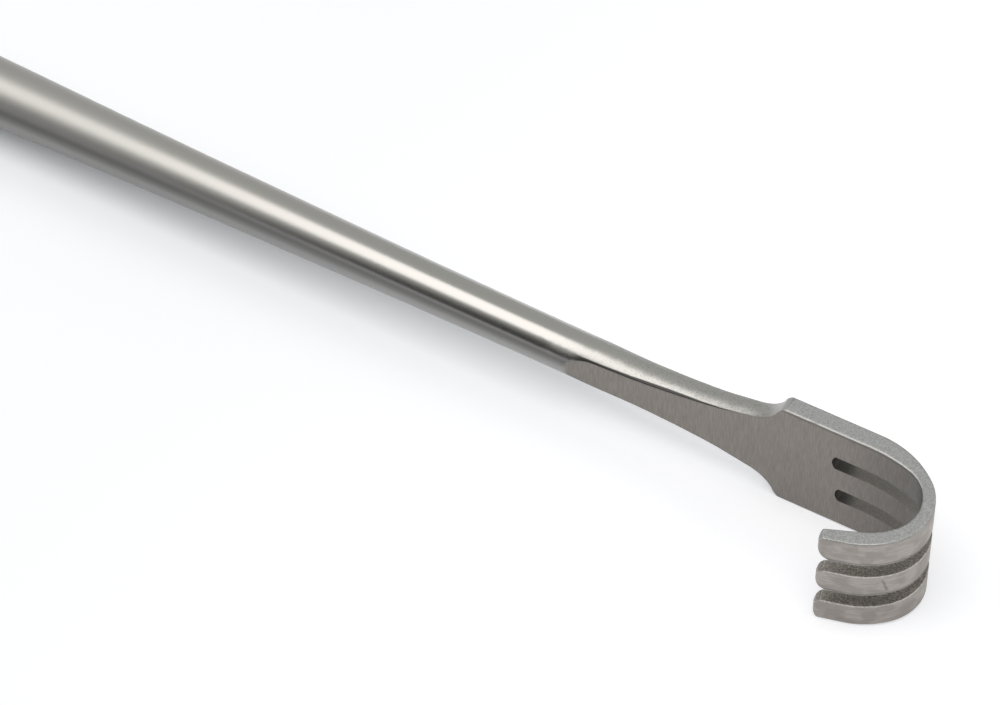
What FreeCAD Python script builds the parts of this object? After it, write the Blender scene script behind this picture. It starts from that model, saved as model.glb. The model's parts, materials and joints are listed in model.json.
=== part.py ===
import FreeCAD, Part
import math
import os
import Sketcher

# Three-pronged hand retractor, forged from one bar of stainless steel.
# The body's X axis runs along the flat plate, towards the hook. The prongs
# curl towards -Y, and the plate's width runs along Z. The origin lies at the
# plate's shoulders, in the middle of its thickness and of its width.

# Driving sizes, in millimetres and degrees
SIZES = {
    # Handle: a plain round bar, thicker towards its rear end
    "handle_length": 195,
    "handle_radius": 4.5,
    "handle_turn": 0.87,
    "grip_length": 40,
    "swell_distance": 104,
    "swell_radius": 3.9,
    # Neck: the bar flattened in front and behind, spreading to the shoulders
    "neck_start": 26.5,
    "neck_end": 1,
    "neck_radius": 2.75,
    "neck_spread": 3.08,
    "flare_start": 2.8,
    "flare_radius": 3.6,
    "neck_lap": 0.3,
    "flat_half": 1.95,
    "flat_start": 24.5,
    "runout_radius": 10,
    "runout_depth": 1.2,
    # Plate
    "plate_width": 16.2,
    "plate_thickness": 2.18,
    "plate_length": 8,
    "shoulder_radius": 2,
    # Hook: three arcs on its inner side and three on its outer side
    "inner_start": 10.5,
    "inner_lead_radius": 18.5,
    "inner_lead_angle": 17,
    "inner_bend_radius": 4.8,
    "inner_bend_angle": 114,
    "inner_tail_radius": 8,
    "inner_tail_angle": 27,
    "outer_start": 11,
    "outer_lead_radius": 11.6,
    "outer_lead_angle": 42,
    "outer_bend_radius": 6.5,
    "outer_bend_angle": 88,
    "outer_tail_radius": 9.75,
    "outer_tail_angle": 34.5,
    "prong_straight": 4.7,
    "prong_draft": 1.02,
    "hook_depth": 16,
    "hook_length": 25,
    # Slots between the prongs
    "slot_width": 2.05,
    "upper_slot_height": 2.55,
    "lower_slot_height": 2.85,
    "upper_slot_end": 6.5,
    "lower_slot_end": 7.15,
    "slot_end_radius": 1.5,
    # Prong tips
    "tip_turn": 17.4,
    "tip_place": 6.2,
    "tip_bulge": 1.15,
    "tip_lean": 0.3,
    "tip_cut_start": 10,
    # Rounded ends of the prongs, and broken edges of the plate and hook
    "nose_radius": 0.6,
    "edge_round": 0.22,
    # How far a cut runs past the metal
    "overrun": 1,
}

# The neck's sections lie closer together towards the plate
NECK_SECTIONS = 8
NECK_CROWDING = 2
NEAR = 0.05
UP = FreeCAD.Vector(0, 0, 1)

doc = FreeCAD.newDocument("Retractor")
sheet = doc.addObject("Spreadsheet::Sheet", "Sizes")
for row, (name, number) in enumerate(SIZES.items(), start=1):
    sheet.set(f"A{row}", name)
    sheet.set(f"B{row}", str(number))
    sheet.setAlias(f"B{row}", name)
doc.recompute()

body = doc.addObject("PartDesign::Body", "Retractor")
body.Label = "retractor"


def value(expression):
    """Number that an expression gives, in millimetres or degrees."""
    result = body.evalExpression(expression)
    return float(getattr(result, "Value", result))


def new_sketch(name, role):
    """Empty sketch on one of the body's own origin planes."""
    sketch = body.newObject("Sketcher::SketchObject", name)
    plane = next(item for item in body.Origin.OriginFeatures if item.Role == role)
    sketch.AttachmentSupport = [(plane, "")]
    sketch.MapMode = "FlatFace"
    return sketch


def turn_sketch(sketch, axis, expression):
    """Turn a sketch about one axis of its own plane."""
    turned = FreeCAD.Rotation(axis, value(expression))
    sketch.AttachmentOffset = FreeCAD.Placement(FreeCAD.Vector(), turned)
    sketch.setExpression("AttachmentOffset.Rotation.Angle", expression)


def end_of(sketch, edge, place):
    """Which end of an edge lies at a place: 1 for its start, 2 for its finish."""
    return 1 if sketch.getPoint(edge, 1).distanceToPoint(place) < 1e-6 else 2


def set_distance(sketch, kind, edge, end, label, expression):
    """Tie one coordinate of an edge's end to an expression."""
    if value(expression) == 0:
        axis = -2 if kind == "DistanceX" else -1
        sketch.addConstraint(Sketcher.Constraint("PointOnObject", edge, end, axis))
        return
    number = sketch.addConstraint(
        Sketcher.Constraint(kind, -1, 1, edge, end, value(expression)))
    sketch.renameConstraint(number, label)
    sketch.setExpression("Constraints." + label, expression)


def bowed(start, finish, radius, side):
    """Arc from start to finish; side is +1 where it bows to the left of the way."""
    chord = finish - start
    half = chord.Length / 2
    rise = abs(radius) - math.sqrt(max(radius * radius - half * half, 0))
    left = FreeCAD.Vector(-chord.y, chord.x, 0).normalize()
    middle = (start + finish) * 0.5 + left * rise * side
    return Part.Arc(start, middle, finish)


def draw_outline(sketch, corners, arcs=None, bends=None):
    """Closed outline through corners, with straight edges but for arcs and bends.

    An arc has a radius and a side. A bend is a slow curve that leaves both its
    ends towards one place beside it.
    """
    arcs = arcs or {}
    bends = bends or {}
    places = [FreeCAD.Vector(value(x), value(y), 0) for x, y in corners]
    count = len(places)
    for edge, start in enumerate(places):
        finish = places[(edge + 1) % count]
        if edge in arcs:
            radius, side = arcs[edge]
            sketch.addGeometry(bowed(start, finish, value(radius), side), False)
        elif edge in bends:
            beside = FreeCAD.Vector(*(value(part) for part in bends[edge]), 0)
            curve = Part.BezierCurve()
            curve.setPoles([start, beside, finish])
            sketch.addGeometry(curve.toBSpline(), False)
        else:
            sketch.addGeometry(Part.LineSegment(start, finish), False)
    for edge, place in enumerate(places):
        before = (edge - 1) % count
        end = end_of(sketch, edge, place)
        joined = end_of(sketch, before, place)
        sketch.addConstraint(Sketcher.Constraint("Coincident", before, joined, edge, end))
        set_distance(sketch, "DistanceX", edge, end, f"x{edge}", corners[edge][0])
        set_distance(sketch, "DistanceY", edge, end, f"y{edge}", corners[edge][1])
    for edge, (radius, side) in arcs.items():
        number = sketch.addConstraint(Sketcher.Constraint("Radius", edge, value(radius)))
        sketch.renameConstraint(number, f"radius{edge}")
        sketch.setExpression(f"Constraints.radius{edge}", radius)


def new_feature(kind, name, profile):
    """Feature of the body made from a sketch."""
    feature = body.newObject("PartDesign::" + kind, name)
    feature.Profile = profile
    profile.Visibility = False
    return feature


def add_through(kind, name, sketch, length):
    """Pad or pocket that runs equally to both sides of its sketch."""
    feature = new_feature(kind, name, sketch)
    feature.SideType = "Symmetric"
    feature.setExpression("Length", length)
    return feature


# Handle and neck
def add_handle():
    """Turn the round bar about its own axis, from the neck to its domed rear end."""
    sketch = new_sketch("HandleProfile", "XY_Plane")
    turn_sketch(sketch, UP, "-Sizes.handle_turn")
    dome = "(Sizes.handle_radius - Sizes.handle_length)"
    grip = "(" + dome + " + Sizes.grip_length)"
    corners = [
        ("-Sizes.neck_start", "0"),
        ("-Sizes.neck_start", "Sizes.neck_radius"),
        ("-Sizes.swell_distance", "Sizes.swell_radius"),
        (grip, "Sizes.handle_radius"),
        (dome, "Sizes.handle_radius"),
        ("-Sizes.handle_length", "0"),
    ]
    halfway = f"(({grip} - Sizes.swell_distance) / 2)"
    slope = f"((Sizes.handle_radius - Sizes.swell_radius) / (-Sizes.swell_distance - {halfway}))"
    before = "(-(Sizes.neck_start + Sizes.swell_distance) / 2)"
    entry = f"(Sizes.swell_radius - {slope} * (Sizes.swell_distance + {before}))"
    bends = {1: (before, entry), 2: (halfway, "Sizes.handle_radius")}
    draw_outline(sketch, corners, {4: ("Sizes.handle_radius", -1)}, bends)
    handle = new_feature("Revolution", "Handle", sketch)
    handle.ReferenceAxis = (sketch, ["H_Axis"])
    handle.Angle = 360


def neck_section(index):
    """Section across the bar, whose crests rise from the neck to the shoulders."""
    reach = 1 - (1 - index / NECK_SECTIONS) ** NECK_CROWDING
    span = "(Sizes.neck_start - Sizes.neck_end)"
    behind = f"(Sizes.neck_start - {span} * {reach:.4f})"
    flare = f"max(0; Sizes.flare_start - {span} * {1 - reach:.4f})"
    rise = (f"(Sizes.neck_spread * {reach ** 3:.4f} + Sizes.flare_radius"
            f" - sqrt(Sizes.flare_radius^2 - ({flare})^2))")
    side = "(Sizes.neck_radius * sin(45))"
    top = f"({side} + {rise})"
    bow = f"(Sizes.neck_radius - {side})"
    flank = f"(({top}^2 + {bow}^2) / (2 * {bow}))"
    sketch = new_sketch(f"NeckSection{index}", "YZ_Plane")
    turn_sketch(sketch, FreeCAD.Vector(0, 1, 0), "-Sizes.handle_turn")
    sketch.setExpression("AttachmentOffset.Base.x", behind + " * sin(Sizes.handle_turn)")
    sketch.setExpression("AttachmentOffset.Base.z", "-" + behind + " * cos(Sizes.handle_turn)")
    corners = [(side, "-" + top), (side, top), ("-" + side, top), ("-" + side, "-" + top)]
    crest = "Sizes.neck_radius"
    draw_outline(sketch, corners, {0: (flank, -1), 1: (crest, -1), 2: (flank, -1), 3: (crest, -1)})
    return sketch


def add_neck():
    """Spread the bar from its round section up to the height of the shoulders."""
    sections = [neck_section(index) for index in range(NECK_SECTIONS + 1)]
    neck = new_feature("AdditiveLoft", "Neck", sections[0])
    neck.Sections = [(section, [""]) for section in sections[1:]]
    for section in sections:
        section.Visibility = False


# Plate and its faces
def add_plate():
    """Flat plate with rounded shoulders, left thick until its faces are cut."""
    rear = "-(Sizes.neck_end + Sizes.neck_lap)"
    shoulder = f"({rear} + Sizes.shoulder_radius)"
    edge = "Sizes.plate_width / 2"
    corner = f"({edge} - Sizes.shoulder_radius)"
    corners = [
        (rear, "-" + corner),
        (shoulder, "-" + edge),
        ("Sizes.plate_length", "-" + edge),
        ("Sizes.plate_length", edge),
        (shoulder, edge),
        (rear, corner),
    ]
    sketch = new_sketch("PlateOutline", "XZ_Plane")
    rounding = ("Sizes.shoulder_radius", -1)
    draw_outline(sketch, corners, {0: rounding, 4: rounding})
    add_through("Pad", "Plate", sketch, "Sizes.plate_thickness + Sizes.overrun")


def cut_flat(name, side):
    """Flatten one side of the neck, running on into the plate's face."""
    sign = "-" if side < 0 else ""
    middle = "Sizes.flat_start * tan(Sizes.handle_turn)"
    face = f"({middle} + {side} * Sizes.flat_half)"
    runout = "sqrt(Sizes.runout_radius^2 - (Sizes.runout_radius - Sizes.runout_depth)^2)"
    start = f"(-Sizes.flat_start - {runout})"
    finish = "(Sizes.plate_length + Sizes.overrun)"
    outside = sign + "Sizes.handle_radius * 2"
    corners = [
        (start, f"({face} + {side} * Sizes.runout_depth)"),
        ("-Sizes.flat_start", face),
        ("-Sizes.neck_end", sign + "Sizes.plate_thickness / 2"),
        (finish, sign + "Sizes.plate_thickness / 2"),
        (finish, outside),
        (start, outside),
    ]
    sketch = new_sketch(name + "Outline", "XY_Plane")
    draw_outline(sketch, corners, {0: ("Sizes.runout_radius", -side)})
    add_through("Pocket", name, sketch, "Sizes.plate_width * 2")


# Hook
def hook_side(sketch, side, first):
    """One face of the hook: plate, three arcs and the straight end of the prongs."""
    name = "inner" if side < 0 else "outer"
    face = side * value("Sizes.plate_thickness / 2")
    heading = 0.0
    place = FreeCAD.Vector(value(f"Sizes.{name}_start"), face, 0)
    start = FreeCAD.Vector(value("Sizes.plate_length"), face, 0)
    sketch.addGeometry(Part.LineSegment(start, place), False)
    for number, stretch in enumerate(("lead", "bend", "tail"), start=1):
        radius = value(f"Sizes.{name}_{stretch}_radius")
        angle = math.radians(value(f"Sizes.{name}_{stretch}_angle"))
        centre = place + FreeCAD.Vector(math.sin(heading), -math.cos(heading), 0) * radius
        halfway, turned = heading - angle / 2, heading - angle
        middle = centre + FreeCAD.Vector(-math.sin(halfway), math.cos(halfway), 0) * radius
        finish = centre + FreeCAD.Vector(-math.sin(turned), math.cos(turned), 0) * radius
        sketch.addGeometry(Part.Arc(place, middle, finish), False)
        before = 2 if number == 1 else 1
        sketch.addConstraint(Sketcher.Constraint(
            "Tangent", first + number - 1, before, first + number, 2))
        for kind, label, size in (("Radius", "radius", radius), ("Angle", "angle", angle)):
            entry = sketch.addConstraint(Sketcher.Constraint(kind, first + number, size))
            sketch.renameConstraint(entry, f"{name}_{stretch}_{label}")
            sketch.setExpression(
                f"Constraints.{name}_{stretch}_{label}", f"Sizes.{name}_{stretch}_{label}")
        place, heading = finish, turned
    return place, FreeCAD.Vector(math.cos(heading), math.sin(heading), 0)


def add_hook():
    """Bend the plate round into the hook, thinner where it is drawn round."""
    sketch = new_sketch("HookOutline", "XY_Plane")
    inner, inner_way = hook_side(sketch, -1, 0)
    inner_tip = inner + inner_way * value("Sizes.prong_straight")
    sketch.addGeometry(Part.LineSegment(inner, inner_tip), False)
    outer, outer_way = hook_side(sketch, 1, 5)
    reach = (inner_tip - outer).dot(inner_way) / outer_way.dot(inner_way)
    outer_tip = outer + outer_way * reach
    sketch.addGeometry(Part.LineSegment(outer, outer_tip), False)
    sketch.addGeometry(Part.LineSegment(inner_tip, outer_tip), False)
    half = value("Sizes.plate_thickness / 2")
    root = value("Sizes.plate_length")
    sketch.addGeometry(
        Part.LineSegment(FreeCAD.Vector(root, -half, 0), FreeCAD.Vector(root, half, 0)), False)
    for constraint in (
        ("Tangent", 3, 1, 4, 1),
        ("Tangent", 8, 1, 9, 1),
        ("Coincident", 4, 2, 10, 1),
        ("Coincident", 9, 2, 10, 2),
        ("Perpendicular", 4, 10),
        ("Coincident", 0, 1, 11, 1),
        ("Coincident", 5, 1, 11, 2),
        ("Horizontal", 0),
        ("Horizontal", 5),
        ("Vertical", 11),
    ):
        sketch.addConstraint(Sketcher.Constraint(*constraint))
    set_distance(sketch, "DistanceX", 11, 1, "root", "Sizes.plate_length")
    set_distance(sketch, "DistanceY", 11, 1, "inner_face", "-Sizes.plate_thickness / 2")
    set_distance(sketch, "DistanceY", 11, 2, "outer_face", "Sizes.plate_thickness / 2")
    set_distance(sketch, "DistanceX", 0, 2, "inner_start", "Sizes.inner_start")
    set_distance(sketch, "DistanceX", 5, 2, "outer_start", "Sizes.outer_start")
    number = sketch.addConstraint(
        Sketcher.Constraint("Distance", 4, value("Sizes.prong_straight")))
    sketch.renameConstraint(number, "prong_straight")
    sketch.setExpression("Constraints.prong_straight", "Sizes.prong_straight")
    add_through("Pad", "Hook", sketch, "Sizes.plate_width")


def cut_draft(name, side):
    """Narrow the hook slightly from the plate to the prongs, on one edge."""
    sign = "-" if side < 0 else ""
    edge = sign + "Sizes.plate_width / 2"
    outside = f"({edge} + {side} * Sizes.overrun)"
    corners = [
        ("Sizes.plate_thickness", edge),
        ("-Sizes.hook_depth", f"({edge} - {side} * Sizes.prong_draft)"),
        ("-Sizes.hook_depth", outside),
        ("Sizes.plate_thickness", outside),
    ]
    sketch = new_sketch(name + "Outline", "YZ_Plane")
    draw_outline(sketch, corners)
    add_through("Pocket", name, sketch, "Sizes.hook_length * 2")


# Slots and prong tips
def cut_slot(name, end, height):
    """Slot that parts two prongs, from their tips round the bend into the plate."""
    low = f"({height} - Sizes.slot_width / 2)"
    high = f"({height} + Sizes.slot_width / 2)"
    corners = [(end, low), ("Sizes.hook_length", low), ("Sizes.hook_length", high), (end, high)]
    sketch = new_sketch(name + "Outline", "XZ_Plane")
    draw_outline(sketch, corners, {3: ("Sizes.slot_end_radius", -1)})
    add_through("Pocket", name, sketch, "Sizes.hook_depth * 3")


def shape_tips():
    """Round each prong's end to a blunt tongue, square to the prong's own way."""
    edge = "((Sizes.plate_width - Sizes.prong_draft) / 2)"
    half = "Sizes.slot_width / 2"
    prongs = [
        ("-" + edge, f"(-Sizes.lower_slot_height - {half})"),
        (f"(-Sizes.lower_slot_height + {half})", f"(Sizes.upper_slot_height - {half})"),
        (f"(Sizes.upper_slot_height + {half})", edge),
    ]
    near = "(Sizes.tip_place + Sizes.tip_bulge - Sizes.tip_lean)"
    far = "(Sizes.tip_place + Sizes.tip_bulge + Sizes.tip_lean)"
    beyond = "(Sizes.plate_width / 2 + Sizes.overrun)"
    corners = [("0", "-" + beyond), (far, "-" + beyond)]
    arcs = {}
    for low, high in prongs:
        reach = f"((({high}) - ({low}))^2 / 4 + Sizes.tip_lean^2 + Sizes.tip_bulge^2)"
        arcs[len(corners)] = (f"({reach} / (2 * Sizes.tip_bulge))", 1)
        corners += [(far, low), (near, high)]
    corners += [(near, beyond), ("0", beyond)]
    sketch = new_sketch("TipsOutline", "XZ_Plane")
    turn_sketch(sketch, FreeCAD.Vector(0, 1, 0), "Sizes.tip_turn")
    sketch.setExpression("AttachmentOffset.Base.x", "Sizes.tip_cut_start * sin(Sizes.tip_turn)")
    sketch.setExpression("AttachmentOffset.Base.z", "Sizes.tip_cut_start * cos(Sizes.tip_turn)")
    draw_outline(sketch, corners, arcs)
    tips = new_feature("Pocket", "Tips", sketch)
    tips.Reversed = True
    tips.setExpression("Length", "Sizes.hook_depth")


# Broken edges
def round_edges(name, radius, test):
    """Round every edge of the body's shape that passes the test."""
    doc.recompute()
    base = body.Tip
    names = []
    for number, edge in enumerate(base.Shape.Edges, start=1):
        middle = edge.valueAt((edge.FirstParameter + edge.LastParameter) / 2)
        if test(edge, middle):
            names.append(f"Edge{number}")
    fillet = body.newObject("PartDesign::Fillet", name)
    fillet.Base = (base, names)
    fillet.setExpression("Radius", radius)


def is_nose_edge(edge, middle):
    """Tell the two edges across the end of the bent plate, which the prongs' ends share."""
    turn = math.radians(value("Sizes.tip_turn"))
    place = middle.x * math.cos(turn) + middle.y * math.sin(turn)
    at_end = place < value("Sizes.tip_place + Sizes.tip_bulge")
    return at_end and middle.y < -value("Sizes.hook_depth / 2") and abs(middle.z) < NEAR


def is_long_edge(edge, middle):
    """Tell the long outer edges of the plate and hook from all the others."""
    high = value("Sizes.plate_width / 2 - Sizes.prong_draft") - NEAR
    along = edge.valueAt(edge.LastParameter) - edge.valueAt(edge.FirstParameter)
    straight_across = abs(along.y) > 4 * abs(along.x)
    short = edge.Length < value("Sizes.plate_thickness") + NEAR
    return middle.x > 0 and abs(middle.z) > high and not (short and straight_across)


def check_document():
    """Stop if a sketch or feature failed, or the body isn't one valid solid."""
    doc.recompute()
    for item in doc.Objects:
        if "Invalid" in item.State or "Error" in item.State:
            raise RuntimeError(item.Name + " failed: " + str(item.State))
    if body.Shape.isNull() or not body.Shape.isValid() or len(body.Shape.Solids) != 1:
        raise RuntimeError("the body isn't one valid solid")


def lay_down():
    """Lay the body on its handle's rear end, its plate's lower edge and its lowest prong."""
    radius = value("Sizes.handle_radius")
    behind = value("Sizes.handle_length") - radius
    turn = math.radians(value("Sizes.handle_turn"))
    dome = FreeCAD.Vector(-behind * math.cos(turn), behind * math.sin(turn), 0)
    corners = [vertex.Point for vertex in body.Shape.Vertexes]
    root = value("Sizes.shoulder_radius")
    plate = [place for place in corners if abs(place.x) < root and place.y < 0]
    prongs = [place for place in corners if place.y < -value("Sizes.hook_depth / 2")]
    up = UP
    for _ in range(3):
        edge = min(plate, key=up.dot)
        along = (min(prongs, key=up.dot) - edge).normalize()
        across = dome - edge
        across = across - along * across.dot(along)
        lift = math.acos(radius / across.Length)
        side = along.cross(across).normalize()
        side = side if side.z > 0 else side.negative()
        up = across.normalize() * math.cos(lift) + side * math.sin(lift)
    body.Placement.Rotation = FreeCAD.Rotation(up, UP)
    doc.recompute()
    box = body.Shape.optimalBoundingBox(False)
    body.Placement.Base = FreeCAD.Vector(-box.Center.x, -box.Center.y, -box.ZMin)
    doc.recompute()


add_handle()
add_neck()
add_plate()
cut_flat("FrontFlat", -1)
cut_flat("BackFlat", 1)
add_hook()
cut_draft("UpperDraft", 1)
cut_draft("LowerDraft", -1)
round_edges("Noses", "Sizes.nose_radius", is_nose_edge)
round_edges("LongEdges", "Sizes.edge_round", is_long_edge)
cut_slot("UpperSlot", "Sizes.upper_slot_end", "Sizes.upper_slot_height")
cut_slot("LowerSlot", "Sizes.lower_slot_end", "-Sizes.lower_slot_height")
shape_tips()
check_document()
lay_down()
os.makedirs("parts", exist_ok=True)
body.Shape.exportStep("parts/" + body.Label + ".step")
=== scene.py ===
import json
import math

import bpy
from mathutils import Matrix, Vector


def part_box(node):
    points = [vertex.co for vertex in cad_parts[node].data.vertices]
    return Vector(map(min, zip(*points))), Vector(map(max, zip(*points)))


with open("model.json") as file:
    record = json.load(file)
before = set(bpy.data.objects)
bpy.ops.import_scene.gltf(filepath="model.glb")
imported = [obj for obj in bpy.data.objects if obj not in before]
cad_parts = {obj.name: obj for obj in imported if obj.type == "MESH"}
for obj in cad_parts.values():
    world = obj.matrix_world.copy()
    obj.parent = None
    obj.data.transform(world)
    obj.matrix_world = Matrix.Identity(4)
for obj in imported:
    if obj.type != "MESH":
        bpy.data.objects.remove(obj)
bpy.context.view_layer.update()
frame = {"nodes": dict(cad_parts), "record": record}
retractor = frame["nodes"]["retractor"]
low, high = (Vector(corner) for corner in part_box("retractor"))


def grey(shade, warmth=0.0):
    """Colour of one shade, a little redder than blue where it is warm."""
    return (shade * (1 + warmth), shade, shade * (1 - warmth), 1)


# The plate's own axes, in millimetres, from the flat face behind it: X runs along the
# plate to the hook, Y to the back and Z across the plate, with zero at the shoulders
MILLIMETRE = 0.001
PLATE_RISE = math.radians(1.107)
FACE_ALONG = 5.0
HALF_THICKNESS = 1.09
HANDLE_TURN = math.radians(0.87)

# Camera, in metres, with its aim measured from the retractor's box
ELEVATION = math.radians(46.65)
AZIMUTH = math.radians(26.30)
ROLL = math.radians(4.67)
DISTANCE = 0.5859
AIM_BEFORE_END = 0.05636
AIM_ASIDE = -0.00052
AIM_HEIGHT = 0.0076
SENSOR_WIDTH = 36
LENS = 182.3
CLIP_START = 0.01

# World: steps of a direction's parts, each from where it begins to where it is full
FRONTWARD = (-0.05, -0.5)
LOW_DOWN = (0.74, 0.46)
REARWARD = (-0.345, -0.41)
DROP_REARWARD = 0.34
ROOM_PALE = (0.62, 0.635, 0.61, 1)
ROOM_DARK = grey(0.02)
SEEN_WHITE = grey(1)

# Lamps, in metres and watts
OVERHEAD_FROM_MIDDLE = -0.08
OVERHEAD_TILT = math.radians(17)
OVERHEAD_DISTANCE = 0.7
OVERHEAD_SIZE = (1.0, 0.6)
OVERHEAD_POWER = 3.28
OVERHEAD_COLOUR = (1.0, 0.975, 0.945)
KEY_WAY = (0.45, 0.55, 0.8)
KEY_SIZE = (0.45, 0.45)
KEY_POWER = 1.2
KEY_COLOUR = (1.0, 0.99, 0.97)

# Floor, in metres: its sheet and its glow change from the retractor's middle to its hook end, where
# the stronger glow is painted light that washes out the shadow
FLOOR_HALF = 3.0
SHEET_AT_MIDDLE = (0.88, 0.89, 0.925, 1)
SHEET_AT_HOOK = (0.72, 0.72, 0.75, 1)
GLOW_AT_MIDDLE = 0.06
GLOW_AT_HOOK = 0.41
GLOW_COLOUR = (0.98, 0.99, 1, 1)

# Places along the plate's X, in millimetres. A pair is a soft step, from where it begins
# to where it is full, apart from the spans further down, which say so
BAR_REAR = (-190.0, -188.0)
BAR_FRONT = (-29.5, -33.0)
BAND_FRONT = (-25.5, -28.0)
RUNOUT = (-29.8, -28.3)
FLAT_START = -24.5
NECK_END = -1.0
PLATE_START = (-1.5, 0.5)
CREST_REAR = (-34.0, -12.0)
CREST_FRONT = (-0.5, -1.5)
SLOT_START = 5.9
SLOT_END_DEPTH = 8.5
SLOT_SOFT = 0.1
# Painted shade in the slots on the plate side, full towards their ends
SLOT_SHADE = (9.5, 7.5)
# Painted shade inside the hook grows from here into the bend
BEND_SHADE_SPAN = (6.0, 20.0)

# Places along the plate's Y
FLAT_FRONT = 1.578
NECK_FACE = (2.75, 2.45)
PLATE_SIDE = (-6.0, -3.0)
SLOT_END_FACE = (1.3, 1.2)
BEND_MIDDLE = (12.5, -8.0, 0.0)

# Heights across the plate, along its Z
SLOT_EDGE = (5.1, 4.9)
# Painted highlight along the rim's front edge between these heights
RIM_HIGHLIGHT_HEIGHTS = (7.7, 7.85)
RIM_HEIGHT = (6.0, 6.2)
# Painted highlights along the prong tops, and painted shade lines along the prong bottoms
PRONG_TOPS = (1.5, -3.9)
PRONG_BOTTOMS = (3.6, -1.8, -8.0)

# Slopes of the surface: how far its direction points up, along the plate or outward.
# The rim's corner is a span between two slopes
LEVEL = (0.35, 0.6)
FLAT_UPRIGHT = (0.25, 0.12)
ABOVE_FLAT = (0.2, 0.35)
RIM_CORNER = (0.25, 0.8)
CORNER_SOFT = 0.1
ALONG_PLATE = (0.4, 0.6)
FACING_OUT = (0.5, 2.0)
FACING_IN = (-0.5, -2.0)
NECK_FACING = 5.0

# Painted dark reflection line above the neck's flat, in millimetres: its reach is a span along the
# plate's X
LINE_TAPER = (-27.0, -13.0)
LINE_WIDTHS = (0.25, 0.85)
LINE_REACH = (-26.0, -4.5)
LINE_FADE = 2.0
LINE_SOFT = 0.12

# Painted highlights along the prong tops, painted shade lines and the small scratch mark on the prongs,
# in millimetres. The top line and the mark's place and height are spans
TOP_HIGHLIGHT_WIDTH = 0.15
TOP_HIGHLIGHT_SOFT = 0.08
TOP_SHADE_LINE = (7.5, 7.75)
TOP_SHADE_LINE_SOFT = 0.12
PRONG_SHADE_WIDTH = 0.2
PRONG_SHADE_SOFT = 0.15
MARK_PLACE = (18.35, 18.45)
MARK_SLANT = 0.25
MARK_SOFT = 0.15
MARK_HEIGHT = (-1.1, 0.6)
MARK_FADE = 0.3
MARK_SIDE = (-6.0, -8.0)

# Painted dark reflection band on the bar's flanks, and painted shade on its underside, by height over
# radius
BAND_UPPER = (0.62, 0.34)
BAND_LOWER = (-0.1, 0.34)
UNDERSIDE_SHADE_SPAN = (0.4, 0.1)

# Colours of the steel
PLATE_DULL = grey(0.21, 0.085)
PLATE_BRIGHT = grey(0.28, 0.085)
# Painted shade far inside the bend
BEND_SHADED_DULL = grey(0.14, 0.05)
BEND_SHADED_BRIGHT = grey(0.185, 0.05)
OUTER_DULL = grey(0.31, 0.08)
OUTER_BRIGHT = grey(0.415, 0.075)
OUTER_PATCH = grey(0.225, 0.1)
RIM_DULL = grey(0.30)
RIM_BRIGHT = grey(0.43)
SLOT_DULL = grey(0.17, 0.08)
SLOT_BRIGHT = grey(0.46, 0.075)
SLOT_ON_PLATE = grey(0.24, 0.05)
# Painted shade at the slots' ends
SLOT_END_SHADE = grey(0.05, 0.05)
BAR_COLOUR = grey(0.43, 0.03)
# Painted shade on the bar's underside, then the painted dark reflection band on its flanks
BAR_UNDERSIDE_SHADE = grey(0.13)
BAR_SIDE_REFLECTION = grey(0.05)
CREST_SPECK = grey(0.16)
# Painted dark reflection line above the neck's flat
FLAT_EDGE_REFLECTION = grey(0.02)
# Painted shade lines on rim and prongs, and the scratch mark
PRONG_SHADE_AND_MARK = grey(0.1)
# Painted highlight on edges, rim and prong tops
EDGE_HIGHLIGHT = grey(0.77, 0.035)

# How much of a colour shows where it lies over another
SLOT_ON_PLATE_SHARE = 0.7
SLOT_END_SHADE_SHARE = 0.73
UNDERSIDE_SHADE_SHARE = 0.35
SIDE_REFLECTION_SHARE = 0.72
FLAT_EDGE_REFLECTION_SHARE = 0.9
PRONG_SHADE_AND_MARK_SHARE = 0.45

# Roughness of the steel
BAR_SMOOTHER = (-38.0, -98.0)
BAR_ROUGHNESS = (0.24, 0.44)
NECK_DULLER = (-32.0, -20.0)
NECK_ROUGHNESS = 0.36
GROUND_ROUGHNESS = {"inner": 0.48, "outer": 0.5, "rim": 0.5, "slot": 0.6}

# Relief and rounded edges of the steel, in millimetres
RELIEF_DEPTH = 0.008
RELIEF_STRENGTH = 0.6
SHARP_EDGE = 0.1
BROAD_EDGE = 0.4
BROAD_BEHIND = (-1.0, -3.0)

# Inputs and output of Blender's Mix node for each kind of value
MIX_SOCKETS = {"FLOAT": (2, 3, 0), "VECTOR": (4, 5, 1), "RGBA": (6, 7, 2)}


def plate_axes():
    """Place and directions of the plate's own axes."""
    face = frame["record"]["mounts"][0]
    behind = Vector(face["axis"]).normalized()
    along = Vector((math.cos(PLATE_RISE), 0, math.sin(PLATE_RISE)))
    along = (along - behind * along.dot(behind)).normalized()
    axes = Matrix((along, behind, along.cross(behind))).transposed().to_4x4()
    middle = along * FACE_ALONG + behind * HALF_THICKNESS
    axes.translation = Vector(face["pos_m"]) - middle * MILLIMETRE
    return axes


# Camera
def place_camera():
    """Look down on the hook along the photograph's line of sight."""
    aim = Vector((high.x - AIM_BEFORE_END, 0.5 * (low.y + high.y) + AIM_ASIDE, AIM_HEIGHT))
    back = Vector((
        math.cos(ELEVATION) * math.sin(AZIMUTH),
        -math.cos(ELEVATION) * math.cos(AZIMUTH),
        math.sin(ELEVATION),
    ))
    data = bpy.data.cameras.new("camera")
    data.sensor_width = SENSOR_WIDTH
    data.lens = LENS
    data.clip_start = CLIP_START
    camera = bpy.data.objects.new("camera", data)
    bpy.context.scene.collection.objects.link(camera)
    facing = back.to_track_quat("Z", "Y").to_matrix() @ Matrix.Rotation(ROLL, 3, "Z")
    camera.location = aim + back * DISTANCE
    camera.rotation_euler = facing.to_euler()
    bpy.context.scene.camera = camera


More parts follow.
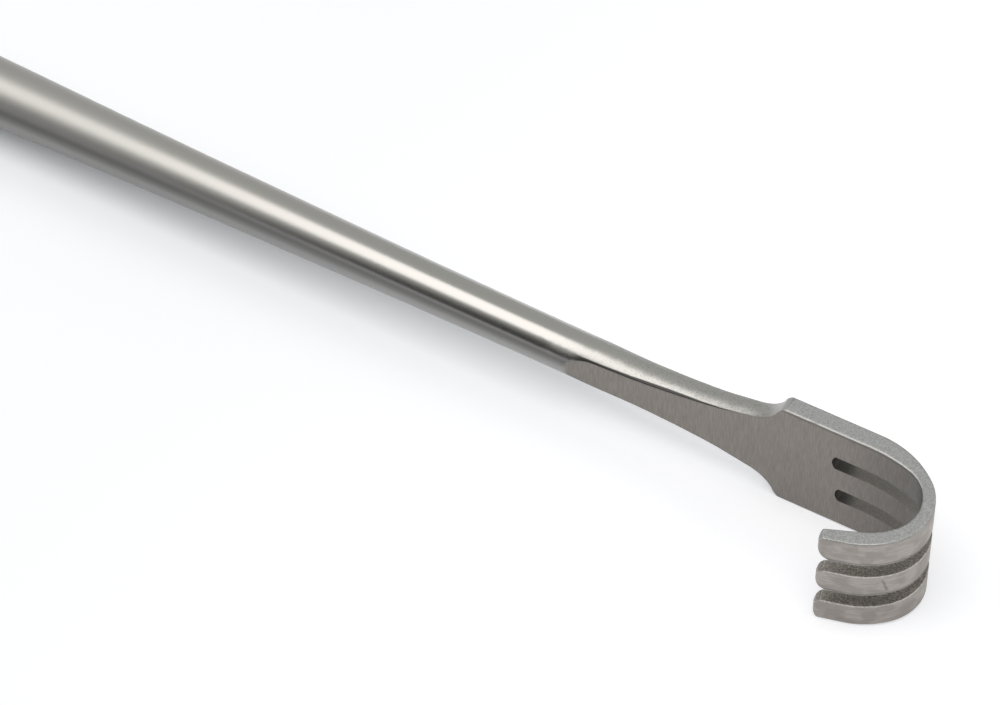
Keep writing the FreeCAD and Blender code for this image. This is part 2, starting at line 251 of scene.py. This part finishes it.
# Nodes
class Tree:
    """Short way to add and join the nodes of one material or world."""

    def __init__(self, owner):
        owner.use_nodes = True
        self.tree = owner.node_tree
        self.tree.nodes.clear()

    def feed(self, socket, source):
        """Join a socket to another node's output, or set its number."""
        if isinstance(source, bpy.types.NodeSocket):
            self.tree.links.new(source, socket)
        else:
            socket.default_value = source

    def add(self, kind, settings=None, **inputs):
        """New node, with its inputs by name."""
        node = self.tree.nodes.new("ShaderNode" + kind)
        for name, setting in (settings or {}).items():
            setattr(node, name, setting)
        for name, source in inputs.items():
            self.feed(node.inputs[name.replace("_", " ")], source)
        return node

    def parts(self, place):
        """The three parts of a place or direction, by the names X, Y and Z."""
        return self.add("SeparateXYZ", Vector=place).outputs

    def math(self, operation, *sources, clamp=False):
        """One sum on numbers."""
        node = self.tree.nodes.new("ShaderNodeMath")
        node.operation = operation
        node.use_clamp = clamp
        for socket, source in zip(node.inputs, sources):
            self.feed(socket, source)
        return node.outputs[0]

    def vector(self, operation, *sources):
        """One sum on places or directions."""
        node = self.tree.nodes.new("ShaderNodeVectorMath")
        node.operation = operation
        for socket, source in zip(node.inputs, sources):
            self.feed(socket, source)
        return node.outputs["Value" if operation in ("DOT_PRODUCT", "LENGTH") else "Vector"]

    def ramp(self, source, start, finish, at_start=0.0, at_finish=1.0):
        """Smooth step of a number from one value at start to another at finish."""
        node = self.tree.nodes.new("ShaderNodeMapRange")
        node.interpolation_type = "SMOOTHSTEP"
        for socket, number in zip(node.inputs, (source, start, finish, at_start, at_finish)):
            self.feed(socket, number)
        return node.outputs[0]

    def within(self, source, start, finish, soft):
        """One where a number lies between two others, and nothing outside."""
        after = self.ramp(source, start - soft, start)
        return self.math("MULTIPLY", after, self.ramp(source, finish, finish + soft, 1.0, 0.0))

    def all_of(self, first, *others):
        """Product of several masks."""
        for other in others:
            first = self.math("MULTIPLY", first, other)
        return first

    def between(self, kind, factor, first, second):
        """Blend of two numbers, directions or colours."""
        node = self.tree.nodes.new("ShaderNodeMix")
        node.data_type = kind
        first_socket, second_socket, output = MIX_SOCKETS[kind]
        self.feed(node.inputs[0], factor)
        self.feed(node.inputs[first_socket], first)
        self.feed(node.inputs[second_socket], second)
        return node.outputs[output]

    def mix(self, factor, first, second):
        """Blend of two colours."""
        return self.between("RGBA", factor, first, second)

    def blend(self, factor, first, second):
        """Blend of two numbers."""
        return self.between("FLOAT", factor, first, second)

    def ways(self, factor, first, second):
        """Direction between two others."""
        return self.vector("NORMALIZE", self.between("VECTOR", factor, first, second))

    def part_of(self, share, mask):
        """A mask at a share of its strength."""
        return self.math("MULTIPLY", mask, share)

    def scaled(self, place, x, y, z):
        """A place with its three parts scaled."""
        return self.vector("MULTIPLY", place, (x, y, z))

    def noise(self, place, scale, detail=2.0, roughness=0.5):
        """Noise between nothing and one."""
        node = self.add("TexNoise", Vector=place, Scale=scale, Detail=detail, Roughness=roughness)
        return node.outputs["Fac"]


# World and lights
def light_world():
    """Pale surroundings, dark low down in front, and white where seen directly."""
    world = bpy.data.worlds.new("world")
    bpy.context.scene.world = world
    tree = Tree(world)
    parts = tree.parts(tree.add("TexCoord").outputs["Generated"])
    in_front = tree.ramp(parts["Y"], *FRONTWARD)
    raised = tree.ramp(parts["X"], *REARWARD, 0.0, DROP_REARWARD)
    low_down = tree.ramp(tree.math("ADD", parts["Z"], raised), *LOW_DOWN)
    room = tree.mix(tree.math("MULTIPLY", in_front, low_down), ROOM_PALE, ROOM_DARK)
    seen = tree.add("LightPath").outputs["Is Camera Ray"]
    background = tree.add("Background", Color=tree.mix(seen, room, SEEN_WHITE), Strength=1.0)
    tree.add("OutputWorld", Surface=background.outputs[0])


def add_softbox(name, place, aim, size, power, colour):
    """Rectangular soft lamp that faces a point."""
    data = bpy.data.lights.new(name, "AREA")
    data.shape = "RECTANGLE"
    data.size, data.size_y = size
    data.energy = power
    data.color = colour
    lamp = bpy.data.objects.new(name, data)
    lamp.location = place
    lamp.rotation_euler = (place - aim).to_track_quat("Z", "Y").to_euler()
    bpy.context.scene.collection.objects.link(lamp)


def light_scene():
    """A long lamp overhead and a little in front, and a squarer one behind to the right."""
    above = Vector((OVERHEAD_FROM_MIDDLE, 0, 0))
    way = Vector((0, -math.sin(OVERHEAD_TILT), math.cos(OVERHEAD_TILT)))
    place = above + way * OVERHEAD_DISTANCE
    add_softbox("overhead", place, above, OVERHEAD_SIZE, OVERHEAD_POWER, OVERHEAD_COLOUR)
    hook = Vector((high.x, 0, 0))
    place = hook + Vector(KEY_WAY).normalized()
    add_softbox("key", place, hook, KEY_SIZE, KEY_POWER, KEY_COLOUR)


# Floor
def floor_material():
    """Matt white sheet that takes the shadow, and glows where seen: painted light, stronger towards the
    hook, that fills the shadow there.
    """
    material = bpy.data.materials.new("floor")
    tree = Tree(material)
    along = tree.parts(tree.add("TexCoord").outputs["Object"])["X"]
    near_hook = tree.ramp(along, 0.0, high.x)
    white = tree.mix(near_hook, SHEET_AT_MIDDLE, SHEET_AT_HOOK)
    sheet = tree.add("BsdfDiffuse", Color=white, Roughness=1.0)
    rays = tree.add("LightPath").outputs
    seen = tree.math("ADD", rays["Is Camera Ray"], rays["Is Glossy Ray"])
    seen = tree.math("ADD", seen, rays["Is Transmission Ray"], clamp=True)
    # Painted light: the glow grows towards the hook
    glow = tree.blend(near_hook, GLOW_AT_MIDDLE, GLOW_AT_HOOK)
    glow = tree.add("Emission", Color=GLOW_COLOUR, Strength=tree.math("MULTIPLY", seen, glow))
    both = tree.add("AddShader")
    for socket, shader in zip(both.inputs, (sheet, glow)):
        tree.feed(socket, shader.outputs[0])
    tree.add("OutputMaterial", Surface=both.outputs[0])
    return material


def add_floor():
    """Wide flat floor just under the retractor."""
    mesh = bpy.data.meshes.new("floor")
    signs = ((-1, -1), (1, -1), (1, 1), (-1, 1))
    corners = [(x * FLOOR_HALF, y * FLOOR_HALF, 0) for x, y in signs]
    mesh.from_pydata(corners, [], [(0, 1, 2, 3)])
    mesh.materials.append(floor_material())
    floor = bpy.data.objects.new("floor", mesh)
    bpy.context.scene.collection.objects.link(floor)


# Steel
def turned(tree, source, matrix, kind, scale=1.0):
    """A place or direction taken from one set of axes to another."""
    turn = matrix.to_euler("XYZ")
    node = tree.add("Mapping", {"vector_type": kind}, Vector=source, Rotation=turn, Scale=(scale,) * 3)
    if kind == "POINT":
        node.inputs["Location"].default_value = matrix.translation * scale
    return node.outputs[0]


class Surface:
    """Place and slope of the surface in the plate's axes, as the masks share them."""

    def __init__(self, tree, place, normal):
        parts = tree.parts(place)
        ways = tree.parts(normal)
        self.place = place
        self.normal = normal
        self.x, self.y, self.z = parts["X"], parts["Y"], parts["Z"]
        self.along, self.back, self.up = ways["X"], ways["Y"], ways["Z"]
        self.height = tree.math("ABSOLUTE", self.z)
        self.upward = tree.math("ABSOLUTE", self.up)
        self.level = tree.ramp(self.upward, *LEVEL)
        self.upright = tree.math("SUBTRACT", 1.0, self.level)
        self.on_plate = tree.ramp(self.x, *PLATE_START)
        self.past_start = tree.ramp(self.x, SLOT_START - SLOT_SOFT, SLOT_START + SLOT_SOFT)
        self.from_axis = tree.math("MULTIPLY_ADD", self.x, math.tan(HANDLE_TURN), self.y)
        self.across = tree.add("CombineXYZ", Y=self.from_axis, Z=self.z).outputs[0]


def ground_faces(tree, here):
    """The outer and inner ground faces of the neck's flats, the plate and the hook."""
    on_flat = tree.all_of(
        tree.ramp(here.x, *RUNOUT),
        tree.ramp(tree.math("ABSOLUTE", here.from_axis), *NECK_FACE),
        tree.ramp(here.upward, *FLAT_UPRIGHT),
    )
    ground = tree.math("MULTIPLY", tree.math("MAXIMUM", on_flat, here.on_plate), here.upright)
    from_bend = tree.vector("SUBTRACT", here.place, BEND_MIDDLE)
    outward = tree.vector("DOT_PRODUCT", tree.scaled(from_bend, 1, 1, 0), here.normal)
    outward = tree.blend(here.on_plate, tree.math("MULTIPLY", here.back, NECK_FACING), outward)
    outer = tree.math("MULTIPLY", ground, tree.ramp(outward, *FACING_OUT))
    inner = tree.math("MULTIPLY", ground, tree.ramp(outward, *FACING_IN))
    return outer, inner


def slot_faces(tree, here):
    """The slots' round ends, and all their faces."""
    between_edges = tree.ramp(here.height, *SLOT_EDGE)
    end = tree.all_of(
        tree.ramp(tree.math("ABSOLUTE", here.along), *ALONG_PLATE),
        tree.within(here.x, SLOT_START, SLOT_END_DEPTH, SLOT_SOFT),
        between_edges,
        tree.ramp(tree.math("ABSOLUTE", here.y), *SLOT_END_FACE),
    )
    wall = tree.all_of(here.level, between_edges, here.past_start)
    return end, tree.math("MAXIMUM", end, wall)


def reflection_line_above_flat(tree, here):
    """Painted dark reflection along the upper edge of the neck's flat, which tapers to the plate."""
    slope = (HALF_THICKNESS - FLAT_FRONT) / (NECK_END - FLAT_START)
    shift = FLAT_FRONT + slope * FLAT_START
    from_face = tree.math("ADD", tree.math("MULTIPLY_ADD", here.x, -slope, here.y), shift)
    width = tree.ramp(here.x, *LINE_TAPER, *LINE_WIDTHS)
    return tree.all_of(
        tree.ramp(tree.math("SUBTRACT", from_face, width), 0.0, -LINE_SOFT),
        tree.ramp(here.up, *ABOVE_FLAT),
        tree.within(here.x, *LINE_REACH, LINE_FADE),
    )


def prong_top_highlights(tree, here, outer):
    """Painted highlights along the tops of the two lower prongs."""
    tops = (tree.within(here.z, top - TOP_HIGHLIGHT_WIDTH, top, TOP_HIGHLIGHT_SOFT) for top in PRONG_TOPS)
    return tree.all_of(outer, here.past_start, tree.math("ADD", *tops))


def prong_shade_lines_and_mark(tree, here, outer):
    """Painted shade lines along the upper rim and the prongs' bottoms, and the scratch mark on the middle
    prong.
    """
    lines = tree.within(here.z, *TOP_SHADE_LINE, TOP_SHADE_LINE_SOFT)
    for bottom in PRONG_BOTTOMS:
        line = tree.within(here.z, bottom, bottom + PRONG_SHADE_WIDTH, PRONG_SHADE_SOFT)
        lines = tree.math("ADD", lines, tree.all_of(line, outer, here.past_start))
    slanted = tree.math("MULTIPLY_ADD", here.z, MARK_SLANT, here.x)
    mark = tree.all_of(
        tree.within(slanted, *MARK_PLACE, MARK_SOFT),
        tree.within(here.z, *MARK_HEIGHT, MARK_FADE),
        tree.ramp(here.y, *MARK_SIDE),
        outer,
    )
    return tree.all_of(here.upright, here.on_plate, tree.math("ADD", lines, mark))


def painted_bar_bands(tree, here):
    """Painted dark reflection band along the bar's flanks, and painted shade on the bar's underside."""
    on_bar = tree.ramp(here.x, *BAND_FRONT)
    rise = tree.math("DIVIDE", here.z, tree.vector("LENGTH", here.across))
    sides = tree.all_of(tree.ramp(rise, *BAND_UPPER), tree.ramp(rise, *BAND_LOWER), on_bar)
    return sides, tree.all_of(tree.ramp(rise, *UNDERSIDE_SHADE_SPAN), on_bar)


def surface_areas(tree, here):
    """Masks of the bar, the ground faces, the edges and the slots, and of the painted shade, reflections
    and highlights, by name.
    """
    outer, inner = ground_faces(tree, here)
    slot_end, slot = slot_faces(tree, here)
    sides, underside_shade = painted_bar_bands(tree, here)
    plate_side = tree.ramp(here.y, *PLATE_SIDE)
    behind_plate = tree.math("MULTIPLY", tree.ramp(here.x, *CREST_REAR), tree.ramp(here.x, *CREST_FRONT))
    corner = tree.within(here.upward, *RIM_CORNER, CORNER_SOFT)
    return {
        "inner": inner,
        "outer": outer,
        "slot": slot,
        "slot_end": slot_end,
        "plate_side": plate_side,
        "slot_shade": tree.math("MULTIPLY", tree.ramp(here.x, *SLOT_SHADE), plate_side),
        "rim": tree.all_of(here.level, tree.ramp(here.height, *RIM_HEIGHT), here.on_plate),
        "crest": tree.math("MULTIPLY", behind_plate, here.level),
        "flat_edge_reflection": reflection_line_above_flat(tree, here),
        "rim_highlight": tree.all_of(corner, tree.ramp(here.height, *RIM_HIGHLIGHT_HEIGHTS), here.on_plate),
        "top_edge_highlights": prong_top_highlights(tree, here, outer),
        "shade_lines_and_mark": prong_shade_lines_and_mark(tree, here, outer),
        "sides": sides,
        "underside_shade": underside_shade,
    }


def surface_patterns(tree, place):
    """Fine and broad unevenness of the steel, by name."""
    return {
        "grain": tree.noise(place, scale=4.5, detail=3.0, roughness=0.7),
        "patches": tree.noise(place, scale=0.45),
        "scratches": tree.noise(tree.scaled(place, 9.0, 9.0, 0.6), scale=1.0, detail=3.0, roughness=0.65),
        "streaks": tree.noise(tree.scaled(place, 0.5, 0.5, 5.0), scale=1.0, detail=3.0, roughness=0.6),
        "highlight_breakup": tree.noise(place, scale=1.7, detail=3.0, roughness=0.7),
    }


def painted_edge_highlights(tree, here, area, pattern, sharp, true_normal):
    """Painted highlights on the edges of the plate and hook, broken up by noise, away from the plate's
    slots.
    """
    off_edge = tree.math("SUBTRACT", 1.0, tree.vector("DOT_PRODUCT", sharp, true_normal))
    return tree.all_of(
        tree.math("SUBTRACT", 1.0, area["plate_side"]),
        tree.ramp(off_edge, 0.01, 0.06),
        tree.ramp(here.x, -0.5, 1.0),
        tree.ramp(pattern["highlight_breakup"], 0.38, 0.52),
    )


def ground_colours(tree, here, area, pattern):
    """Colours of the inner and outer faces, the rim and the slots, with painted shade into the bend and
    at the slots' ends, by name.
    """
    # Inner faces darken into the bend: painted shade
    into_bend_shade = tree.ramp(here.x, *BEND_SHADE_SPAN)
    dull = tree.mix(into_bend_shade, PLATE_DULL, BEND_SHADED_DULL)
    bright = tree.mix(into_bend_shade, PLATE_BRIGHT, BEND_SHADED_BRIGHT)
    outer = tree.mix(tree.ramp(pattern["streaks"], 0.2, 0.8), OUTER_DULL, OUTER_BRIGHT)
    slot = tree.mix(tree.ramp(pattern["grain"], 0.3, 0.75), SLOT_DULL, SLOT_BRIGHT)
    slot = tree.mix(tree.part_of(SLOT_ON_PLATE_SHARE, area["plate_side"]), slot, SLOT_ON_PLATE)
    # Painted shade at the slots' ends
    painted_slot_shade = tree.math("MAXIMUM", area["slot_end"], area["slot_shade"])
    return {
        "inner": tree.mix(tree.ramp(pattern["scratches"], 0.3, 0.7), dull, bright),
        "outer": tree.mix(tree.ramp(pattern["patches"], 0.4, 0.62, 0.0, 0.5), outer, OUTER_PATCH),
        "rim": tree.mix(tree.ramp(pattern["grain"], 0.35, 0.65), RIM_DULL, RIM_BRIGHT),
        "slot": tree.mix(tree.part_of(SLOT_END_SHADE_SHARE, painted_slot_shade), slot, SLOT_END_SHADE),
    }


def steel_colour(tree, here, area, pattern, edge_highlights):
    """Colour of the bar with its painted shade and dark reflections, and over it those of the ground
    faces, the rim, the slots, the painted shade lines and the painted edge highlights.
    """
    # Painted shade on the bar's underside and a painted dark reflection band on its flanks
    colour = tree.mix(tree.part_of(UNDERSIDE_SHADE_SHARE, area["underside_shade"]), BAR_COLOUR, BAR_UNDERSIDE_SHADE)
    colour = tree.mix(tree.part_of(SIDE_REFLECTION_SHARE, area["sides"]), colour, BAR_SIDE_REFLECTION)
    specks = tree.math("MULTIPLY", area["crest"], tree.ramp(pattern["grain"], 0.48, 0.62, 0.0, 0.4))
    colour = tree.mix(specks, colour, CREST_SPECK)
    # Painted dark reflection line above the neck's flat
    colour = tree.mix(tree.part_of(FLAT_EDGE_REFLECTION_SHARE, area["flat_edge_reflection"]), colour, FLAT_EDGE_REFLECTION)
    for name, ground in ground_colours(tree, here, area, pattern).items():
        colour = tree.mix(area[name], colour, ground)
    # Painted shade lines on rim and prongs, with the scratch mark on the middle prong
    colour = tree.mix(tree.part_of(PRONG_SHADE_AND_MARK_SHARE, area["shade_lines_and_mark"]), colour, PRONG_SHADE_AND_MARK)
    # Painted highlights along prong tops, the rim's front edge and other edges
    top_edge_highlights = tree.math("MULTIPLY", area["top_edge_highlights"], tree.ramp(pattern["grain"], 0.42, 0.58, 0.0, 0.5))
    rim_highlight = tree.ramp(pattern["patches"], 0.36, 0.5, 0.25, 0.9)
    rim_highlight = tree.math("MULTIPLY", area["rim_highlight"], rim_highlight)
    painted_highlights = tree.math("MAXIMUM", edge_highlights, tree.math("MAXIMUM", top_edge_highlights, rim_highlight))
    return tree.mix(painted_highlights, colour, EDGE_HIGHLIGHT)


def steel_roughness(tree, here, area):
    """Satin bar, glossier near the neck, and duller ground faces."""
    rough = tree.ramp(here.x, *BAR_SMOOTHER, *BAR_ROUGHNESS)
    rough = tree.blend(tree.ramp(here.x, *NECK_DULLER), rough, NECK_ROUGHNESS)
    for name, number in GROUND_ROUGHNESS.items():
        rough = tree.blend(area[name], rough, number)
    return rough


def steel_relief(tree, area, pattern, normal):
    """Grain all over, coarser on rim, crest and slots, scratches inside, and slight waves."""
    coarse = tree.math("MAXIMUM", area["rim"], area["crest"])
    coarse = tree.math("MAXIMUM", coarse, area["slot"])
    relief = tree.math("MULTIPLY", pattern["grain"], tree.blend(coarse, 0.5, 1.0))
    relief = tree.math("MULTIPLY_ADD", pattern["scratches"], area["inner"], relief)
    relief = tree.math("MULTIPLY_ADD", pattern["patches"], 0.5, relief)
    depth = RELIEF_DEPTH * MILLIMETRE
    bump = tree.add("Bump", Strength=RELIEF_STRENGTH, Distance=depth, Height=relief, Normal=normal)
    return bump.outputs[0]


def smooth_normal(tree, here, axes, sharp):
    """The round bar's direction straight from its axis, and the mesh's with rounded edges elsewhere."""
    broad = tree.add("Bevel", {"samples": 6}, Radius=BROAD_EDGE * MILLIMETRE).outputs[0]
    rounded = tree.ways(tree.ramp(here.x, *BROAD_BEHIND), sharp, broad)
    outward = turned(tree, tree.vector("NORMALIZE", here.across), axes, "VECTOR")
    on_bar = tree.ramp(here.x, *BAR_FRONT)
    on_bar = tree.math("MULTIPLY", on_bar, tree.ramp(here.x, *BAR_REAR))
    return tree.ways(on_bar, rounded, outward)


def steel_material():
    """Satin stainless steel, ground on its flats and rough in its slots, with painted shade, reflections
    and highlights in its colour.
    """
    axes = plate_axes()
    to_plate = axes.inverted()
    material = bpy.data.materials.new("steel")
    tree = Tree(material)
    place = turned(tree, tree.add("TexCoord").outputs["Object"], to_plate, "POINT", 1 / MILLIMETRE)
    true_normal = tree.add("NewGeometry").outputs["Normal"]
    here = Surface(tree, place, turned(tree, true_normal, to_plate, "VECTOR"))
    area = surface_areas(tree, here)
    pattern = surface_patterns(tree, place)
    sharp = tree.add("Bevel", {"samples": 4}, Radius=SHARP_EDGE * MILLIMETRE).outputs[0]
    edge_highlights = painted_edge_highlights(tree, here, area, pattern, sharp, true_normal)
    shader = tree.add(
        "BsdfPrincipled",
        Metallic=1.0,
        Base_Color=steel_colour(tree, here, area, pattern, edge_highlights),
        Roughness=steel_roughness(tree, here, area),
        Normal=steel_relief(tree, area, pattern, smooth_normal(tree, here, axes, sharp)),
    )
    tree.add("OutputMaterial", Surface=shader.outputs[0])
    return material


steel = steel_material()
for slot in retractor.material_slots:
    slot.link = "OBJECT"
    slot.material = steel

place_camera()
light_world()
light_scene()
add_floor()
bpy.context.scene.view_settings.view_transform = "Standard"
